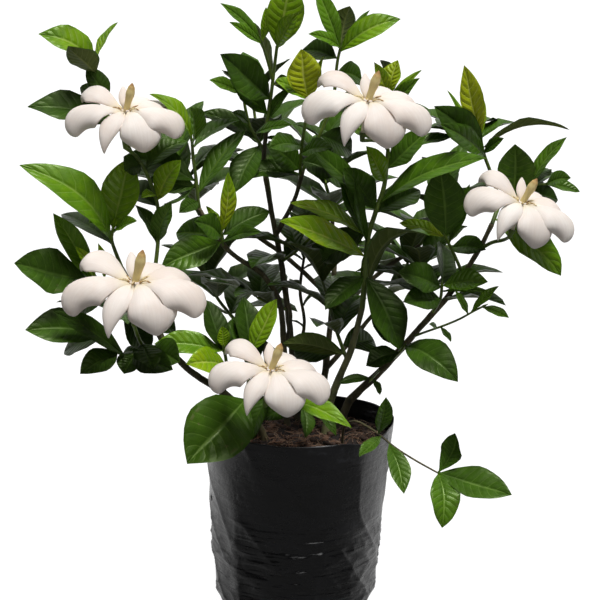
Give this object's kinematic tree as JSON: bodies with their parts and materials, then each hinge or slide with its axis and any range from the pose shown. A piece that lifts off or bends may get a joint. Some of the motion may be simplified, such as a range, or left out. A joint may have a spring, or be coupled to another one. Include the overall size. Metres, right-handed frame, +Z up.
{
  "type": "potted gardenia",
  "caption": "Gardenia shrub with glossy dark green leaves and white reflexed blooms with upright yellow styles, growing in a black film grow bag.",
  "frame": {"origin": "on the grow bag's flat bottom, under the middle of its rim, on the surface it stands on", "axes": "+Z up, -Y towards the viewer of the picture, +X to the viewer's right"},
  "size_m": [0.5531, 0.3809, 0.6416],
  "materials": {
    "film": "thin glossy black polyethylene film, wrinkled",
    "mix": "moist dark brown bark and coir potting mix with loose fibres",
    "bark": "grey-brown woody stem bark",
    "leaf": "glossy leathery green leaf, impressed veins, paler matt underside",
    "petal": "soft waxy cream-white petal",
    "style": "matt pale yellow style with a browner tip"
  },
  "bodies": {
    "root": {"grow_bag": "film", "potting_mix": "mix", "woody_stem_left": "bark", "woody_stem_centre": "bark", "woody_stem_right": "bark", "woody_stem_inner": "bark", "woody_stem_top": "bark", "woody_stem_back": "bark", "bloom_1": "petal", "style_1": "style", "bloom_2": "petal", "style_2": "style", "bloom_3": "petal", "style_3": "style", "bloom_4": "petal", "style_4": "style", "bloom_5": "petal", "style_5": "style", "shoot_left_top": "leaf", "shoot_bloom_1": "leaf", "shoot_left_inner": "leaf", "shoot_left_middle": "leaf", "shoot_left_low_twig": "leaf", "shoot_bloom_2": "leaf", "shoot_left_low": "leaf", "shoot_left_leaves": "leaf", "shoot_left_base": "leaf", "shoot_bloom_5": "leaf", "shoot_low_left": "leaf", "shoot_low_centre": "leaf", "shoot_centre": "leaf", "shoot_bloom_3": "leaf", "shoot_right_top": "leaf", "shoot_top_right": "leaf", "shoot_top_middle": "leaf", "shoot_top": "leaf", "shoot_top_twig": "leaf", "shoot_top_left": "leaf", "shoot_right_middle": "leaf", "shoot_right_low": "leaf", "shoot_right_base": "leaf", "shoot_right_sprig": "leaf", "shoot_right_twig": "leaf", "shoot_bloom_4": "leaf", "shoot_right_upper": "leaf", "shoot_right_tip": "leaf", "shoot_trailing": "leaf", "shoot_inner_low": "leaf", "shoot_inner_middle": "leaf", "shoot_inner_right": "leaf", "shoot_inner_low_left": "leaf", "shoot_inner_top": "leaf", "shoot_inner_right_top": "leaf", "shoot_inner_left_low": "leaf", "shoot_back_middle": "leaf", "shoot_back_low_right": "leaf", "shoot_back_right": "leaf", "shoot_back_low_left": "leaf", "shoot_back_left": "leaf", "shoot_back_top": "leaf"}
  },
  "joints": []
}
